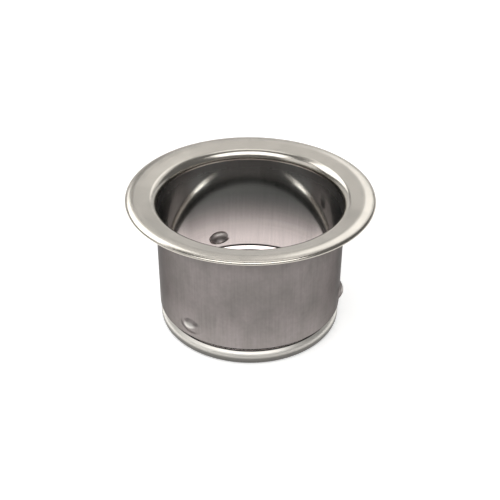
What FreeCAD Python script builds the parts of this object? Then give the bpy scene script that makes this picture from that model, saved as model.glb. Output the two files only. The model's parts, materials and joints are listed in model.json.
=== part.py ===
# Extended sink flange: the throat of a kitchen garbage disposal.
# One round pressing in thin stainless sheet. The solids below are its formed zones, in contact
# face to face: the rolled rim edge, the dished rim, the mouth, the straight sleeve, three stopper
# dimples, the snap ring groove and the bottom bead with its turned-in lip.
# Millimetres. +Z is up along the sleeve's axis, and z = 0 is the underside of the bottom lip.
import FreeCAD, Part
import math
import os
from FreeCAD import Matrix, Placement, Rotation, Vector

# driving dimensions
flange_height = 66.1
sheet = 1.05

rim_radius = 57.15
crown_radius = 53.4  # the highest ring of the rim
dish_outer_radius = 50.8  # outside this ring the dish curves over into the crown
dish_angle = 13.0  # degrees, falling towards the mouth
edge_drop = 1.5  # the edge falls this far as it curves over
edge_handle = 0.75  # how full that curve is

bore_radius = 42.6
mouth_round = 4.65

sleeve_foot = 11.0  # the groove's zone starts here, on the straight wall
groove_edge = 9.5  # the sleeve's lower edge, outside
groove_edge_round = 0.3
flank_angle = 45.0  # degrees, the groove's upper flank, falling inwards
groove_floor_radius = 41.34  # outside of the sheet at the bottom of the groove
groove_root_round = 0.5
groove_wall = 0.7  # the sheet is rolled thinner round the groove
ridge_blend = 2.2  # from the bore into the ridge that is the groove's back

bead_radius = 43.35
bead_shoulder_angle = 42.0  # degrees turned where the bead leaves the groove
bead_shoulder_round = 4.0
bead_foot_round = 2.2
bead_inner_top = 3.2  # the straight inner wall of the bead ends here
lip_radius = 39.6  # free edge of the turned-in lip

dimple_angles = {"right": -7.8, "rear": 112.2, "front": 232.2}  # degrees about +Z from +X
dimple_height = 15.5
dimple_half_width = 6.0  # round the sleeve
dimple_half_height = 3.75  # along the sleeve
dimple_rise = 1.9
dimple_wall = 0.9
dimple_border = 0.4  # plain sheet kept round each dimple
dome_sink = 0.6  # each dome's centre lies this far below the sleeve's outer face
pocket_sink = 0.2  # and each pocket's centre this far inside the bore

# worked out
top = flange_height
sleeve_radius = bore_radius + sheet
dish_slope = math.radians(dish_angle)
crown_arc = (crown_radius - dish_outer_radius) / math.sin(dish_slope)


def crown_height(radius):
    """Height of the rim's curved top at a radius."""
    return top - crown_arc + math.sqrt(crown_arc ** 2 - (radius - crown_radius) ** 2)


underside = top - edge_drop
dish_outer_height = crown_height(dish_outer_radius)
mouth_centre_radius = bore_radius + mouth_round
mouth_outer_radius = mouth_centre_radius - mouth_round * math.sin(dish_slope)
dish_fall = (dish_outer_radius - mouth_outer_radius) * math.tan(dish_slope)
mouth_centre_height = dish_outer_height - dish_fall - mouth_round * math.cos(dish_slope)
mouth_back_round = mouth_round - sheet
bead_inner_radius = bead_radius - sheet
crest_radius = groove_floor_radius - groove_wall  # the ridge inside the bore


def at(radius, height):
    """A point of the cross-section."""
    return Vector(radius, 0, height)


def line(start, end):
    return Part.LineSegment(at(*start), at(*end)).toShape()


def on_circle(centre, radius, angle):
    """A point on a circle of the cross-section, its angle in degrees from outwards towards up."""
    turn = math.radians(angle)
    return centre[0] + radius * math.cos(turn), centre[1] + radius * math.sin(turn)


def arc(centre, radius, start_angle, end_angle):
    middle_angle = (start_angle + end_angle) / 2
    points = [on_circle(centre, radius, angle) for angle in (start_angle, middle_angle, end_angle)]
    return Part.Arc(*[at(*point) for point in points]).toShape()


def ogee(start, end):
    """An S-curve that leaves and arrives along the axis."""
    middle = (start[1] + end[1]) / 2
    curve = Part.BezierCurve()
    curve.setPoles([at(*start), at(start[0], middle), at(end[0], middle), at(*end)])
    return curve.toShape()


def ring(edges):
    """The closed cross-section turned once round the axis."""
    return Part.Face(Part.Wire(edges)).revolve(Vector(0, 0, 0), Vector(0, 0, 1), 360)


def rim_edge():
    crown = (crown_radius, top)
    handle = edge_handle * (rim_radius - crown_radius)
    curve = Part.BezierCurve()
    curve.setPoles([at(*crown), at(crown_radius + handle, top),
                    at(rim_radius, top - (1 - edge_handle) * edge_drop), at(rim_radius, underside)])
    return ring([
        curve.toShape(),
        line((rim_radius, underside), (crown_radius, underside)),
        line((crown_radius, underside), crown),
    ])


mouth_centre = (mouth_centre_radius, mouth_centre_height)
mouth_start = on_circle(mouth_centre, mouth_round, 90 + dish_angle)
mouth_back_start = on_circle(mouth_centre, mouth_back_round, 90 + dish_angle)


def rim_dish():
    crown = (crown_radius, top)
    dish_outer = (dish_outer_radius, dish_outer_height)
    middle_radius = (crown_radius + dish_outer_radius) / 2
    crown_curve = Part.Arc(at(*crown), at(middle_radius, crown_height(middle_radius)), at(*dish_outer))
    seat_inner_radius = mouth_back_start[0] + (underside - mouth_back_start[1]) / math.tan(dish_slope)
    return ring([
        crown_curve.toShape(),
        line(dish_outer, mouth_start),
        line(mouth_start, mouth_back_start),
        line(mouth_back_start, (seat_inner_radius, underside)),
        line((seat_inner_radius, underside), (crown_radius, underside)),
        line((crown_radius, underside), crown),
    ])


def mouth():
    return ring([
        arc(mouth_centre, mouth_round, 90 + dish_angle, 180),
        line((bore_radius, mouth_centre_height), (sleeve_radius, mouth_centre_height)),
        arc(mouth_centre, mouth_back_round, 180, 90 + dish_angle),
        line(mouth_back_start, mouth_start),
    ])


def placed(shape, radius, angle):
    """Moves a shape made at the origin out along +X to a radius, up to the dimples, and round."""
    shape.Placement = Placement(Vector(radius, 0, dimple_height), Rotation())
    shape.rotate(Vector(0, 0, 0), Vector(0, 0, 1), angle)
    return shape


def footprint(angle):
    """An oval bar pointing outwards through the sleeve: the sheet that one dimple is made of."""
    half_length = 4 * sheet
    across = dimple_half_width + dimple_border
    along = dimple_half_height + dimple_border
    oval = Part.Ellipse(Vector(0, 0, -half_length), across, along)
    bar = Part.Face(Part.Wire([oval.toShape()])).extrude(Vector(0, 0, 2 * half_length))
    bar.rotate(Vector(0, 0, 0), Vector(1, 1, 1), 120)  # its length to +X, its long axis to +Y
    return placed(bar.copy(), bore_radius, angle)


def ellipsoid(depth, half_width, half_height, radius, angle):
    shape = Part.makeSphere(1).transformGeometry(Matrix(depth, 0, 0, 0, 0, half_width, 0, 0, 0, 0, half_height, 0))
    return placed(shape, radius, angle)


def sleeve_wall():
    outer = Part.makeCylinder(sleeve_radius, mouth_centre_height - sleeve_foot, Vector(0, 0, sleeve_foot))
    inner = Part.makeCylinder(bore_radius, mouth_centre_height - sleeve_foot, Vector(0, 0, sleeve_foot))
    return outer.cut(inner)


def sleeve():
    wall = sleeve_wall()
    for angle in dimple_angles.values():
        wall = wall.cut(footprint(angle))
    return wall


def dimple(angle):
    patch = sleeve_wall().common(footprint(angle))
    dome = ellipsoid(dome_sink + dimple_rise, dimple_half_width, dimple_half_height,
                     sleeve_radius - dome_sink, angle)
    dome = dome.cut(Part.makeCylinder(bore_radius, flange_height))
    pocket_rise = sheet + dimple_rise - dimple_wall
    pocket = ellipsoid(pocket_sink + pocket_rise, dimple_half_width - dimple_wall,
                       dimple_half_height - dimple_wall, bore_radius - pocket_sink, angle)
    return patch.fuse(dome).cut(pocket).removeSplitter()


# the outside of the groove: a rounded edge, a straight flank and a round root at its deepest
flank = math.radians(flank_angle)
groove_edge_centre = (sleeve_radius - groove_edge_round, groove_edge)
flank_start = on_circle(groove_edge_centre, groove_edge_round, -flank_angle)
root_radius = groove_floor_radius + groove_root_round
flank_width = flank_start[0] - root_radius + groove_root_round * math.sin(flank)
root_height = flank_start[1] - flank_width * math.tan(flank) - groove_root_round * math.cos(flank)
root = (root_radius, root_height)


def snap_ring_groove():
    crest_round = groove_root_round + groove_wall
    crest_end = on_circle(root, crest_round, 180 - flank_angle)
    blend_start_radius = bore_radius - ridge_blend * (1 - math.cos(flank))
    blend_start_height = crest_end[1] + (blend_start_radius - crest_end[0]) * math.tan(flank)
    blend = (bore_radius - ridge_blend, blend_start_height + ridge_blend * math.sin(flank))
    return ring([
        line((bore_radius, sleeve_foot), (sleeve_radius, sleeve_foot)),
        line((sleeve_radius, sleeve_foot), (sleeve_radius, groove_edge)),
        arc(groove_edge_centre, groove_edge_round, 0, -flank_angle),
        line(flank_start, on_circle(root, groove_root_round, 180 - flank_angle)),
        arc(root, groove_root_round, 180 - flank_angle, 180),
        line((groove_floor_radius, root_height), (crest_radius, root_height)),
        arc(root, crest_round, 180, 180 - flank_angle),
        line(crest_end, (blend_start_radius, blend_start_height)),
        arc(blend, ridge_blend, -flank_angle, 0),
        line((bore_radius, blend[1]), (bore_radius, sleeve_foot)),
    ])


def bottom_bead():
    turn = math.radians(bead_shoulder_angle)
    root_end = on_circle(root, groove_root_round, 180 + bead_shoulder_angle)
    shoulder_start_radius = bead_radius - bead_shoulder_round * (1 - math.cos(turn))
    cone_fall = (shoulder_start_radius - root_end[0]) / math.tan(turn)
    shoulder_height = root_end[1] - cone_fall - bead_shoulder_round * math.sin(turn)
    shoulder = (bead_radius - bead_shoulder_round, shoulder_height)
    foot = (bead_radius - bead_foot_round, bead_foot_round)
    lip = (lip_radius + sheet / 2, sheet / 2)
    return ring([
        arc(root, groove_root_round, 180, 180 + bead_shoulder_angle),
        line(root_end, on_circle(shoulder, bead_shoulder_round, bead_shoulder_angle)),
        arc(shoulder, bead_shoulder_round, bead_shoulder_angle, 0),
        line((bead_radius, shoulder_height), (bead_radius, foot[1])),
        arc(foot, bead_foot_round, 0, -90),
        line((foot[0], 0), (lip[0], 0)),
        arc(lip, sheet / 2, 270, 90),
        line((lip[0], sheet), (foot[0], sheet)),
        arc(foot, bead_foot_round - sheet, -90, 0),
        line((bead_inner_radius, foot[1]), (bead_inner_radius, bead_inner_top)),
        ogee((bead_inner_radius, bead_inner_top), (crest_radius, root_height)),
        line((crest_radius, root_height), (groove_floor_radius, root_height)),
    ])


zones = {
    "rim_edge": rim_edge(),
    "rim_dish": rim_dish(),
    "mouth": mouth(),
    "sleeve": sleeve(),
    "snap_ring_groove": snap_ring_groove(),
    "bottom_bead": bottom_bead(),
}
for place, angle in dimple_angles.items():
    zones["stopper_dimple_" + place] = dimple(angle)

os.makedirs("parts", exist_ok=True)
for name, shape in zones.items():
    shape.exportStep(os.path.join("parts", name + ".step"))
    print(name, shape.isValid(), "solids", len(shape.Solids), "volume", round(shape.Volume, 2))
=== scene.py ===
import bpy
import json
import math
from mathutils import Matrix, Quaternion, Vector


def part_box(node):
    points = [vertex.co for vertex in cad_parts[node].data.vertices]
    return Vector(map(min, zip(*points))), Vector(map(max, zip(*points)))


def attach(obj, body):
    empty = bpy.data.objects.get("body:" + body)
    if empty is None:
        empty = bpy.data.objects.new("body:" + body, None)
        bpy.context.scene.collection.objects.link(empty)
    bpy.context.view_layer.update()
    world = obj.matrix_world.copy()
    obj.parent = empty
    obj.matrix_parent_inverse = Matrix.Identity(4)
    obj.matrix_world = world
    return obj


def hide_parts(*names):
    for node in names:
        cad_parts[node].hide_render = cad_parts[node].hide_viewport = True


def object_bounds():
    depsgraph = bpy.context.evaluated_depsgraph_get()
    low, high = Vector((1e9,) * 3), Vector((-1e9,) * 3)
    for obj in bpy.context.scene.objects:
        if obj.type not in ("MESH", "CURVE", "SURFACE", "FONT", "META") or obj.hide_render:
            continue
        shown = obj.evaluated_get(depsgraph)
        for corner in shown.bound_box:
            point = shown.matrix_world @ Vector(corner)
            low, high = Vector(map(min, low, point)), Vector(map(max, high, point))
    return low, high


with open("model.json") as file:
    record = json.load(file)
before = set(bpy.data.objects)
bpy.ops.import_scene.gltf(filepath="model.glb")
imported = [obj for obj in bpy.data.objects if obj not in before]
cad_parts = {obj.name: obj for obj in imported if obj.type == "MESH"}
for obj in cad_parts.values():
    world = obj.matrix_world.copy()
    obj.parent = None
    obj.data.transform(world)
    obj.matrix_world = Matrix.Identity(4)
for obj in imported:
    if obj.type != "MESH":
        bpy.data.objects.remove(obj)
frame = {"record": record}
cadLow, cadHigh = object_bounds()
mm = 0.001

# sizes that the frame already holds, in millimetres
mountDims = {mount["name"]: mount["dims"] for mount in frame["record"]["mounts"]}
boreRadius = mountDims["throat_bore"]["r_mm"]
rimRadius = min(-cadLow.x, -cadLow.y, cadHigh.x, cadHigh.y) / mm
flangeHeight = cadHigh.z / mm
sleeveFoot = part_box("sleeve")[0].z / mm
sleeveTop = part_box("sleeve")[1].z / mm
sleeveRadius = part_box("snap_ring_groove")[1].x / mm
sheet = sleeveRadius - boreRadius
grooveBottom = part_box("snap_ring_groove")[0].z / mm
print("frame loaded: rim", round(rimRadius, 2), "height", round(flangeHeight, 2), "sheet", round(sheet, 2))

ringColumns = 720
land = 0.15  # short straight stretch at each join, so that both sides of it shade alike


def onCircle(centre, radius, angle):
    turn = math.radians(angle)
    return centre[0] + radius * math.cos(turn), centre[1] + radius * math.sin(turn)


def arcPoints(centre, radius, startAngle, endAngle, step=4):
    # an arc of the section, its ends included; angles run from outwards towards up
    count = max(1, round(abs(endAngle - startAngle) / step))
    sweep = (endAngle - startAngle) / count
    return [onCircle(centre, radius, startAngle + sweep * i) for i in range(count + 1)]


def ogeePoints(start, end, count=14):
    # an S-curve that leaves and arrives along the axis
    points = []
    for i in range(count + 1):
        t = i / count
        ease = t * t * (3 - 2 * t)
        points.append((start[0] + (end[0] - start[0]) * ease, start[1] + (end[1] - start[1]) * t))
    return points


def latheRing(name, section):
    # a loop of edges is extruded, scaled and lifted along the closed section
    bpy.ops.object.select_all(action="DESELECT")
    radius, height = section[0]
    bpy.ops.mesh.primitive_circle_add(vertices=ringColumns, radius=radius * mm, location=(0, 0, height * mm))
    ring = bpy.context.object
    ring.name = name
    ring.data.name = name
    bpy.ops.object.transform_apply(location=True, rotation=True, scale=True)
    bpy.ops.object.mode_set(mode="EDIT")
    bpy.ops.mesh.select_all(action="SELECT")
    for nextRadius, nextHeight in section[1:] + section[:1]:
        bpy.ops.mesh.extrude_region()
        grow = nextRadius / radius
        bpy.ops.transform.resize(value=(grow, grow, 1), center_override=(0, 0, 0))
        bpy.ops.transform.translate(value=(0, 0, (nextHeight - height) * mm))
        radius, height = nextRadius, nextHeight
    bpy.ops.mesh.select_all(action="SELECT")
    bpy.ops.mesh.remove_doubles(threshold=0.000002)
    bpy.ops.mesh.normals_make_consistent(inside=False)
    bpy.ops.object.mode_set(mode="OBJECT")
    bpy.ops.object.shade_smooth_by_angle(angle=math.radians(35))
    print("made", name, "with", len(ring.data.polygons), "faces")
    return ring


def standFor(piece, slotName, finish, *nodes):
    piece.data.materials.clear()
    piece.data.materials.append(finish)
    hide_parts(*nodes)
    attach(piece, "root")


class Wire:
    # a shader socket for use in arithmetic; each operator adds one Math node
    def __init__(self, board, socket):
        self.board = board
        self.socket = socket

    def __add__(self, other):
        return self.board.maths("ADD", self, other)

    def __sub__(self, other):
        return self.board.maths("SUBTRACT", self, other)

    def __rsub__(self, other):
        return self.board.maths("SUBTRACT", other, self)

    def __mul__(self, other):
        return self.board.maths("MULTIPLY", self, other)

    def __truediv__(self, other):
        return self.board.maths("DIVIDE", self, other)

    def __pow__(self, other):
        return self.board.maths("POWER", self, other)

    def __abs__(self):
        return self.board.maths("ABSOLUTE", self, 0)

    __radd__ = __add__
    __rmul__ = __mul__


class Board:
    # the nodes of one finish
    def __init__(self, name):
        self.material = bpy.data.materials.new(name)
        self.material.use_nodes = True
        self.tree = self.material.node_tree
        self.shader = self.tree.nodes["Principled BSDF"]

    def add(self, kind, settings, values, output=0):
        node = self.tree.nodes.new(kind)
        for setting, value in settings.items():
            setattr(node, setting, value)
        for name, value in values.items():
            self.feed(node.inputs[name], value)
        return Wire(self, node.outputs[output])

    def feed(self, socket, value):
        if isinstance(value, Wire):
            self.tree.links.new(value.socket, socket)
        else:
            socket.default_value = value

    def maths(self, operation, first, second):
        return self.add("ShaderNodeMath", {"operation": operation}, {0: first, 1: second})

    def ramp(self, value, low, high, lowResult=0.0, highResult=1.0):
        # a smooth step between two values
        settings = {"interpolation_type": "SMOOTHSTEP"}
        ends = {1: low, 2: high, 3: lowResult, 4: highResult}
        return self.add("ShaderNodeMapRange", settings, {0: value, **ends})

    def blend(self, amount, first, second, how="MIX"):
        settings = {"data_type": "RGBA", "blend_type": how}
        return self.add("ShaderNodeMix", settings, {0: amount, 6: first, 7: second}, output=2)

    def place(self):
        # distance from the axis and height, in millimetres, and the direction round the axis
        position = self.add("ShaderNodeTexCoord", {}, {}, output="Object")
        split = self.add("ShaderNodeSeparateXYZ", {}, {0: position})
        x = split * 1000
        y = Wire(self, split.socket.node.outputs[1]) * 1000
        height = Wire(self, split.socket.node.outputs[2]) * 1000
        radius = (x * x + y * y) ** 0.5
        return radius, height, x / radius, y / radius

    def noise(self, x, y, z, scale=1.0, detail=3.0, roughness=0.5):
        spot = self.add("ShaderNodeCombineXYZ", {}, {0: x, 1: y, 2: z})
        return self.add("ShaderNodeTexNoise", {}, {"Vector": spot, "Scale": scale, "Detail": detail,
                                                  "Roughness": roughness})

    def bump(self, height, strength, distance):
        return self.add("ShaderNodeBump", {}, {"Height": height, "Strength": strength, "Distance": distance})

    def grey(self, shade):
        return self.add("ShaderNodeCombineXYZ", {}, {0: shade, 1: shade, 2: shade})

    def darken(self, amount, colour):
        # matte dark layer over the finish where amount is 1, used as painted shade
        paintedShade = self.add("ShaderNodeBsdfDiffuse", {}, {"Color": colour})
        clean = Wire(self, self.shader.outputs[0])
        mixed = self.add("ShaderNodeMixShader", {}, {0: amount, 1: clean, 2: paintedShade})
        self.tree.links.new(mixed.socket, self.tree.nodes["Material Output"].inputs["Surface"])

    def finish(self, values):
        for name, value in values.items():
            self.feed(self.shader.inputs[name], value)
        return self.material


satinLook = {
    "colour": (0.61, 0.572, 0.512, 1),
    "cloudy": (0.565, 0.532, 0.476, 1),  # the duller patches
    "patchScale": 0.09,
    "roughness": 0.22,
    "roughnessRange": 0.08,
    "lineDepth": 0.0000025,
}


def satinFinish():
    # satin steel of the rim: soft patches and very fine lines running round
    board = Board("satinSteel")
    radius, height, acrossTurn, alongTurn = board.place()
    patches = board.noise(acrossTurn * radius, alongTurn * radius, height, scale=satinLook["patchScale"])
    lines = board.noise(acrossTurn * 4, alongTurn * 4, radius * 5 + height * 5, detail=2)
    return board.finish({
        "Metallic": 1.0,
        "Base Color": board.blend(board.ramp(patches, 0.35, 0.65), satinLook["cloudy"], satinLook["colour"]),
        "Roughness": satinLook["roughness"] + (lines - 0.5) * satinLook["roughnessRange"],
        "Normal": board.bump(lines, 1.0, satinLook["lineDepth"]),
    })


paintedGrooveShade = (0.02, 0.02, 0.02, 1)  # painted shade: matte dark colour standing in for the groove's shadow, on both finishes that meet there
drawnLook = {
    "metallic": 0.9,
    "edgeTint": (0.3, 0.3, 0.3, 1),
    "roughnessRange": 0.06,
    "streakDepth": 0.000003,
    "dirtTop": 9.75,  # the painted groove shade has faded out at this height
    "dirtFade": 0.4,
}
outsideLook = {
    "colour": (0.212, 0.190, 0.185, 1),
    "patch": (0.198, 0.180, 0.173, 1),
    "roughness": 0.33,
    "topShade": 0.72,  # painted shade: darker under the rim
    "footGlow": 1.42,  # painted light: lighter near the groove
}
boreLook = {
    "low": (0.40, 0.355, 0.345, 1),  # near the foot of the bore; this lighter colour towards the foot is painted reflection
    "high": (0.15, 0.15, 0.144, 1),
    "roughness": 0.10,
    "mouthRoughness": 0.3,
    # painted light: lighter near the foot of the bore
    "footGlow": 1.8,
    # painted shade: darker above the middle of the bore
    "middleShade": 0.8,
    "ridgeHeight": 9.5,
    "ridgeShade": 0.25,  # painted shade: a dark line where the ridge starts
    "besideGlow": 2.2,  # painted light: lighter at the two sides
    "streak": (0.80, 0.78, 0.70, 1),  # painted reflection: two bright curved streaks, at the back
    "streakFoot": 17.7,  # their height at the sides
    "streakRise": 39,  # and how far they would climb by the back
}
paintedHighlight = {
    "colour": (0.66, 0.63, 0.60, 1),  # painted highlight, on the upper part of each dimple
    "rise": 1.2,  # above the dimple's middle
    "halfWidth": 3.4,
    "halfHeight": 1.4,
}
dimples = {
    "angles": (-7.8, 112.2, 232.2),  # degrees round from +X
    "height": 15.5,
    "halfWidth": 6.5,
    "halfHeight": 4.15,
    "rise": 1.9,
    "shoulder": 1.45,  # higher is softer at the dimple's border
}


def outsideShade(board, height, patches, grain, streaks):
    # painted shade under the rim and painted light near the groove, times random marks
    topShade = board.ramp(height, 48, 60, 1.0, outsideLook["topShade"])
    footGlow = board.ramp(height, 10, 30, outsideLook["footGlow"], 1.0)
    marks = (patches - 0.5) * 0.3 + (grain - 0.5) * 0.25 + (streaks - 0.5) * 0.3 + 1.0
    return topShade * footGlow * marks


def boreShade(board, height, acrossTurn, streaks, rings):
    # painted light and shade along and around the bore, times random marks
    footGlow = board.ramp(height, 11, 30, boreLook["footGlow"], 1.0)
    middleShade = board.ramp(height, 24, 36, 1.0, boreLook["middleShade"])
    marks = (streaks - 0.5) * 0.25 + (rings - 0.5) * 0.2 + 1.0
    ridgeStart = board.ramp(abs(height - boreLook["ridgeHeight"]), 0.15, 0.65, boreLook["ridgeShade"], 1.0)
    besideGlow = board.ramp(abs(acrossTurn), 0.7, 0.95, 1.0, boreLook["besideGlow"])
    return footGlow * middleShade * marks * ridgeStart * besideGlow


def paintedBoreReflections(board, height, acrossTurn, alongTurn):
    # painted reflection: 1 along two curves that climb towards the back and fade out before they meet
    away = abs(height - boreLook["streakFoot"] - alongTurn * boreLook["streakRise"])
    besideMiddle = board.ramp(abs(acrossTurn), 0.35, 0.6)
    atBack = board.ramp(alongTurn, 0.2, 0.5)
    return board.ramp(away, 0.3, 2.6, 1.0, 0.0) * besideMiddle * atBack


def paintedHighlights(board, height, acrossTurn, alongTurn):
    # painted highlight: 1 on the upper part of each dimple
    highlightMask = 0
    for angle in dimples["angles"]:
        turn = math.radians(angle)
        facing = acrossTurn * math.cos(turn) + alongTurn * math.sin(turn)
        across = (alongTurn * math.cos(turn) - acrossTurn * math.sin(turn)) * sleeveRadius
        up = height - dimples["height"] - paintedHighlight["rise"]
        away = ((across / paintedHighlight["halfWidth"]) ** 2 + (up / paintedHighlight["halfHeight"]) ** 2) ** 0.5
        highlightMask = highlightMask + board.ramp(away, 0.5, 1.15, 1.0, 0.0) * board.ramp(facing, 0.8, 0.9)
    return highlightMask


def drawnFinish():
    # dull drawn steel: mottled, with upright draw streaks and faint lines round it; smoother inside the
    # bore; with painted light and shade by height and side, a painted highlight on each dimple, painted
    # reflections in the bore and painted shade in the groove
    board = Board("drawnSteel")
    radius, height, acrossTurn, alongTurn = board.place()
    outside = board.ramp(radius, boreRadius + sheet * 0.4, boreRadius + sheet * 0.6)
    patches = board.noise(acrossTurn * radius, alongTurn * radius, height * 0.7, scale=0.10)
    grain = board.noise(acrossTurn * radius, alongTurn * radius, height, scale=0.55, detail=4)
    streaks = board.noise(acrossTurn * 46, alongTurn * 46, height * 0.05, detail=2)
    rings = board.noise(acrossTurn, alongTurn, height * 2.4, detail=2)

    outsideColour = board.blend(board.ramp(patches, 0.38, 0.62), outsideLook["patch"], outsideLook["colour"])
    boreColour = board.blend(board.ramp(height, 22, 42), boreLook["low"], boreLook["high"])
    colour = board.blend(outside, boreColour, outsideColour)
    shade = outside * outsideShade(board, height, patches, grain, streaks)
    shade = shade + (1 - outside) * boreShade(board, height, acrossTurn, streaks, rings)
    colour = board.blend(1.0, colour, board.grey(shade), how="MULTIPLY")
    colour = board.blend(paintedHighlights(board, height, acrossTurn, alongTurn), colour, paintedHighlight["colour"])
    streak = paintedBoreReflections(board, height, acrossTurn, alongTurn) * (1 - outside)
    colour = board.blend(streak, colour, boreLook["streak"])

    boreRoughness = board.ramp(height, 48, 58, boreLook["roughness"], boreLook["mouthRoughness"])
    roughness = outside * outsideLook["roughness"] + (1 - outside) * boreRoughness
    # painted shade: dark matte colour at the sleeve's lower edge, in the groove
    dirtTop = drawnLook["dirtTop"]
    paintedShade = board.ramp(height, dirtTop - drawnLook["dirtFade"], dirtTop, 1.0, 0.0) * outside
    board.darken(paintedShade, paintedGrooveShade)
    return board.finish({
        "Metallic": drawnLook["metallic"],
        "Specular Tint": drawnLook["edgeTint"],
        "Base Color": colour,
        "Roughness": roughness + (streaks - 0.5) * drawnLook["roughnessRange"],
        "Normal": board.bump(streaks + rings, 1.0, drawnLook["streakDepth"]),
    })


brightLook = {
    "colour": (0.90, 0.87, 0.81, 1),
    "roughness": 0.42,
    "roughnessRange": 0.06,
    "lineDepth": 0.0000015,
    "lowerShade": 0.2,  # painted shade: darker below the shoulder
    "footShade": 0.7,  # painted shade: darker again towards the table
    "dirtFoot": 6.2,  # the painted groove shade starts at this height
    "dirtFade": 0.25,
}


def brightFinish():
    # burnished steel of the rolled bead, with painted shade towards the table and in the groove
    board = Board("burnishedSteel")
    radius, height, acrossTurn, alongTurn = board.place()
    lines = board.noise(acrossTurn * 5, alongTurn * 5, height * 4 + radius * 4, detail=2)
    lower = board.ramp(height, 3.0, 5.0, brightLook["lowerShade"], 1.0)
    foot = board.ramp(height, 1.2, 3.2, brightLook["footShade"], 1.0)
    outside = board.ramp(radius, 40.9, 41.2)  # 0 on the ridge inside the bore
    # painted shade in the groove, above the bead's shoulder
    dirtFoot = brightLook["dirtFoot"]
    board.darken(board.ramp(height, dirtFoot, dirtFoot + brightLook["dirtFade"]) * outside, paintedGrooveShade)
    return board.finish({
        "Metallic": 1.0,
        "Base Color": board.blend(1.0, brightLook["colour"], board.grey(lower * foot), how="MULTIPLY"),
        "Roughness": brightLook["roughness"] + (lines - 0.5) * brightLook["roughnessRange"],
        "Normal": board.bump(lines, 1.0, brightLook["lineDepth"]),
    })


satinSteel = satinFinish()
drawnSteel = drawnFinish()
burnishedSteel = brightFinish()
print("finishes ready")

rimShape = {
    "crownRadius": 53.4,  # the highest ring
    "dishOuterRadius": 50.8,  # inside this ring the dish is a plain cone
    "dishAngle": 13.0,
    "edgeDrop": 1.5,  # the edge falls this far as it curves over
    "edgeHandle": 0.75,  # how full that curve is
}
mouthRound = 4.65

dishSlope = math.radians(rimShape["dishAngle"])
crownRadius = rimShape["crownRadius"]
crownArc = (crownRadius - rimShape["dishOuterRadius"]) / math.sin(dishSlope)
underside = flangeHeight - rimShape["edgeDrop"]


def crownHeight(radius):
    return flangeHeight - crownArc + math.sqrt(crownArc ** 2 - (radius - crownRadius) ** 2)


def crownCurve(startRadius, endRadius, count=10):
    step = (endRadius - startRadius) / count
    return [(startRadius + step * i, crownHeight(startRadius + step * i)) for i in range(count + 1)]


def edgeCurve(count=24):
    # over from level at the crown to upright at the outer edge
    width, drop, handle = rimRadius - crownRadius, rimShape["edgeDrop"], rimShape["edgeHandle"]
    points = []
    for i in range(count + 1):
        t = i / count
        outward = 3 * (1 - t) ** 2 * t * handle + 3 * (1 - t) * t ** 2 + t ** 3
        fall = 3 * (1 - t) * t ** 2 * (1 - handle) + t ** 3
        points.append((crownRadius + width * outward, flangeHeight - drop * fall))
    return points


mouthCentreRadius = boreRadius + mouthRound
mouthStartAngle = 90 + rimShape["dishAngle"]
dishOuter = (rimShape["dishOuterRadius"], crownHeight(rimShape["dishOuterRadius"]))
dishFall = (dishOuter[0] - mouthCentreRadius + mouthRound * math.sin(dishSlope)) * math.tan(dishSlope)
mouthCentre = (mouthCentreRadius, dishOuter[1] - dishFall - mouthRound * math.cos(dishSlope))


def upTheDish(point):
    # a point moved outwards along the dish by one land
    return point[0] + land * math.cos(dishSlope), point[1] + land * math.sin(dishSlope)


mouthArc = arcPoints(mouthCentre, mouthRound, mouthStartAngle, 180, step=3)
mouthBackArc = arcPoints(mouthCentre, mouthRound - sheet, 180, mouthStartAngle, step=5)
dishInner = upTheDish(mouthArc[0])
dishBackInner = upTheDish(mouthBackArc[-1])


def makeRimEdge():
    corner = 0.12
    section = [point for point in edgeCurve() if point[1] > underside + corner]
    section += arcPoints((rimRadius - corner, underside + corner), corner, 0, -90, step=30)
    section += [(crownRadius, underside)]
    return latheRing("rimEdge", section)


def makeRimDish():
    seatInner = dishBackInner[0] + (underside - dishBackInner[1]) / math.tan(dishSlope)
    section = [(crownRadius, flangeHeight), (crownRadius - land, flangeHeight)]
    section += crownCurve(crownRadius - 2 * land, dishOuter[0])
    section += [dishInner, dishBackInner, (seatInner, underside), (crownRadius, underside)]
    return latheRing("rimDish", section)


def makeMouth():
    section = [dishInner] + mouthArc + [(boreRadius, mouthCentre[1] - land)]
    section += [(sleeveRadius, mouthCentre[1] - land)] + mouthBackArc + [dishBackInner]
    return latheRing("mouthTurn", section)


sizingLine = {"height": 14.3, "depth": 0.05, "halfWidth": 0.3}  # faint line pressed round the outside


def pressDimples(sleeve):
    # both faces of the wall move outwards together inside each oval
    for vertex in sleeve.data.vertices:
        x, y, z = vertex.co / mm
        along = (z - dimples["height"]) / dimples["halfHeight"]
        if abs(along) >= 1:
            continue
        for angle in dimples["angles"]:
            turn = (math.atan2(y, x) - math.radians(angle) + math.pi) % (2 * math.pi) - math.pi
            across = turn * sleeveRadius / dimples["halfWidth"]
            inside = 1 - across ** 2 - along ** 2
            if inside > 0:
                rise = dimples["rise"] * inside ** dimples["shoulder"]
                grow = 1 + rise / math.hypot(x, y)
                vertex.co.x *= grow
                vertex.co.y *= grow


def makeSleeve():
    top = mouthCentre[1] - land
    fineTop = dimples["height"] + dimples["halfHeight"] + 0.6
    fineRows = round((fineTop - sleeveFoot) / 0.35)
    heights = [sleeveFoot + (fineTop - sleeveFoot) * i / fineRows for i in range(fineRows + 1)]
    plainRows = 12
    heights += [fineTop + (top - fineTop) * (i + 1) / plainRows for i in range(plainRows)]
    inside = [(boreRadius, height) for height in heights]
    outside = []
    for height in reversed(heights):
        away = abs(height - sizingLine["height"]) / sizingLine["halfWidth"]
        outside.append((sleeveRadius - sizingLine["depth"] * max(0, 1 - away), height))
    sleeve = latheRing("sleeveTube", inside + outside)
    pressDimples(sleeve)
    return sleeve


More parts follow.
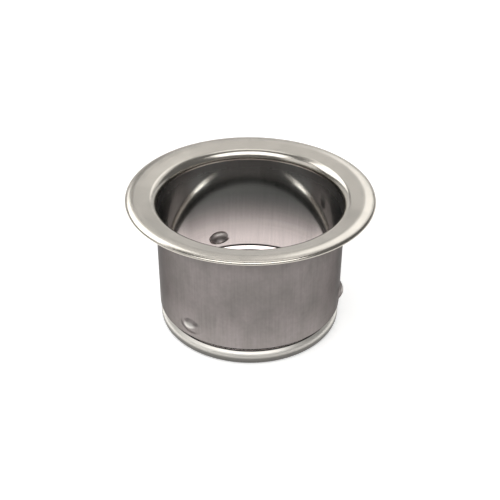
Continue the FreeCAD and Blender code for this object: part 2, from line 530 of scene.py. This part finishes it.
grooveShape = {
    "edge": 9.5,  # the sleeve's lower edge, outside
    "edgeRound": 0.3,
    "flankAngle": 45,  # the upper flank falls inwards
    "floorRadius": 41.34,
    "rootRound": 0.5,
    "wall": 0.7,  # the sheet is thinner here
    "ridgeBlend": 2.2,  # from the bore into the ridge that is the groove's back
}
grooveEdge = (sleeveRadius - grooveShape["edgeRound"], grooveShape["edge"])
grooveRoot = (grooveShape["floorRadius"] + grooveShape["rootRound"], grooveBottom)
crestRadius = grooveShape["floorRadius"] - grooveShape["wall"]


def makeGroove():
    flankAngle = grooveShape["flankAngle"]
    flank = math.radians(flankAngle)
    crestRound = grooveShape["rootRound"] + grooveShape["wall"]
    crestArc = arcPoints(grooveRoot, crestRound, 180, 180 - flankAngle, step=5)
    blend = grooveShape["ridgeBlend"]
    blendEnd = boreRadius - blend * (1 - math.cos(flank))
    blendEndHeight = crestArc[-1][1] + (blendEnd - crestArc[-1][0]) * math.tan(flank)
    blendCentre = (boreRadius - blend, blendEndHeight + blend * math.sin(flank))
    section = [(boreRadius, sleeveFoot), (sleeveRadius, sleeveFoot)]
    section += arcPoints(grooveEdge, grooveShape["edgeRound"], 0, -flankAngle, step=9)
    section += arcPoints(grooveRoot, grooveShape["rootRound"], 180 - flankAngle, 180, step=9)
    section += crestArc + arcPoints(blendCentre, blend, -flankAngle, 0, step=5)
    return latheRing("snapRingGroove", section)


beadShape = {
    "radius": 43.35,
    "shoulderAngle": 42,  # how far the shoulder has turned where it leaves the groove
    "shoulderRound": 4.0,
    "footRound": 2.2,
    "innerTop": 3.2,
    "lipRadius": 39.6,  # free edge of the turned-in lip
}


def makeBead():
    shoulderAngle, shoulderRound = beadShape["shoulderAngle"], beadShape["shoulderRound"]
    radius = beadShape["radius"]
    turn = math.radians(shoulderAngle)
    rootArc = arcPoints(grooveRoot, grooveShape["rootRound"], 180, 180 + shoulderAngle, step=7)
    shoulderStart = radius - shoulderRound * (1 - math.cos(turn))
    fall = (shoulderStart - rootArc[-1][0]) / math.tan(turn) + shoulderRound * math.sin(turn)
    shoulder = (radius - shoulderRound, rootArc[-1][1] - fall)
    foot = (radius - beadShape["footRound"], beadShape["footRound"])
    lip = (beadShape["lipRadius"] + sheet / 2, sheet / 2)
    section = rootArc + arcPoints(shoulder, shoulderRound, shoulderAngle, 0, step=2)
    section += arcPoints(foot, beadShape["footRound"], 0, -90, step=3)
    section += arcPoints(lip, sheet / 2, 270, 90, step=15)
    section += arcPoints(foot, beadShape["footRound"] - sheet, -90, 0, step=6)
    section += ogeePoints((radius - sheet, beadShape["innerTop"]), (crestRadius, grooveBottom))
    return latheRing("bottomBead", section)


standFor(makeRimEdge(), "satin_rim", satinSteel, "rim_edge")
standFor(makeRimDish(), "satin_rim", satinSteel, "rim_dish")
standFor(makeMouth(), "satin_rim", satinSteel, "mouth")
standFor(makeSleeve(), "drawn_sleeve", drawnSteel, "sleeve", "stopper_dimple_right", "stopper_dimple_rear",
         "stopper_dimple_front")
standFor(makeGroove(), "drawn_sleeve", drawnSteel, "snap_ring_groove")
standFor(makeBead(), "polished_bead", burnishedSteel, "bottom_bead")

studio = {
    "roomGlow": 0.16,
    "floorColour": (0.94, 0.94, 0.93, 1),
    "floorGlow": 0.42,
    "floorSize": 6,  # metres
    "floorGap": 0.00002,  # a hair under the lip, so that the two faces don't meet
    "softboxes": {
        # azimuth, elevation and distance of the middle, degrees spanned across and up, brightness
        "frontSoftbox": (0, 56, 0.9, 100, 34, 2.7),
        "topSoftbox": (180, 76, 0.9, 60, 14, 1.5),
        "backPanel": (174, 46, 0.9, 42, 44, 0.62),
        "horizonPanel": (180, 10, 0.9, 120, 24, 0.6),
        "backLeftSoftbox": (-131, 43, 0.55, 62, 26, 2.6),
        "backRightSoftbox": (156, 38, 0.55, 34, 24, 0.9),
        "lowLeftSoftbox": (-66, 27, 0.7, 52, 32, 0.8),
    },
}


def aimed(thing, azimuth, elevation, distance, target):
    # azimuth 0 stands in front, on -Y, and 90 stands on +X
    turn, climb = math.radians(azimuth), math.radians(elevation)
    back = Vector((math.sin(turn) * math.cos(climb), -math.cos(turn) * math.cos(climb), math.sin(climb)))
    thing.location = target + back * distance
    thing.rotation_mode = "QUATERNION"
    thing.rotation_quaternion = back.to_track_quat("Z", "Y")


middle = Vector((0, 0, flangeHeight / 2 * mm))
for name, (azimuth, elevation, reach, across, up, brightness) in studio["softboxes"].items():
    lamp = bpy.data.lights.new(name, "AREA")
    lamp.shape = "RECTANGLE"
    lamp.size = 2 * reach * math.tan(math.radians(across / 2)) * max(math.cos(math.radians(elevation)), 0.5)
    lamp.size_y = 2 * reach * math.tan(math.radians(up / 2))
    lamp.energy = brightness * math.pi * lamp.size * lamp.size_y
    box = bpy.data.objects.new(name, lamp)
    bpy.context.scene.collection.objects.link(box)
    aimed(box, azimuth, elevation, reach, middle)

room = bpy.data.worlds.new("room")
bpy.context.scene.world = room
room.use_nodes = True
room.node_tree.nodes["Background"].inputs["Color"].default_value = (1, 1, 1, 1)
room.node_tree.nodes["Background"].inputs["Strength"].default_value = studio["roomGlow"]

bpy.ops.object.select_all(action="DESELECT")
bpy.ops.mesh.primitive_plane_add(size=studio["floorSize"], location=(0, 0, -studio["floorGap"]))
floor = bpy.context.object
floor.name = "floor"
paper = Board("palePaper")
floor.data.materials.append(paper.finish({
    "Base Color": studio["floorColour"],
    "Roughness": 0.9,
    "Emission Color": (1, 1, 1, 1),
    "Emission Strength": studio["floorGlow"],
}))

cameraView = {
    "elevation": 33.82,
    "distance": 0.421,
    "lens": 63.56,
    "roll": 0.0069,
    "rise": 0.0038,  # vertical shift, as a part of the frame's side
}
lens = bpy.data.cameras.new("camera")
lens.lens = cameraView["lens"]
lens.shift_y = cameraView["rise"]
lens.clip_start = 0.01
camera = bpy.data.objects.new("camera", lens)
bpy.context.scene.collection.objects.link(camera)
aimed(camera, 0, cameraView["elevation"], cameraView["distance"], middle)
camera.rotation_quaternion = camera.rotation_quaternion @ Quaternion((0, 0, 1), cameraView["roll"])
bpy.context.scene.camera = camera
bpy.context.scene.view_settings.view_transform = "Standard"
print("studio ready")
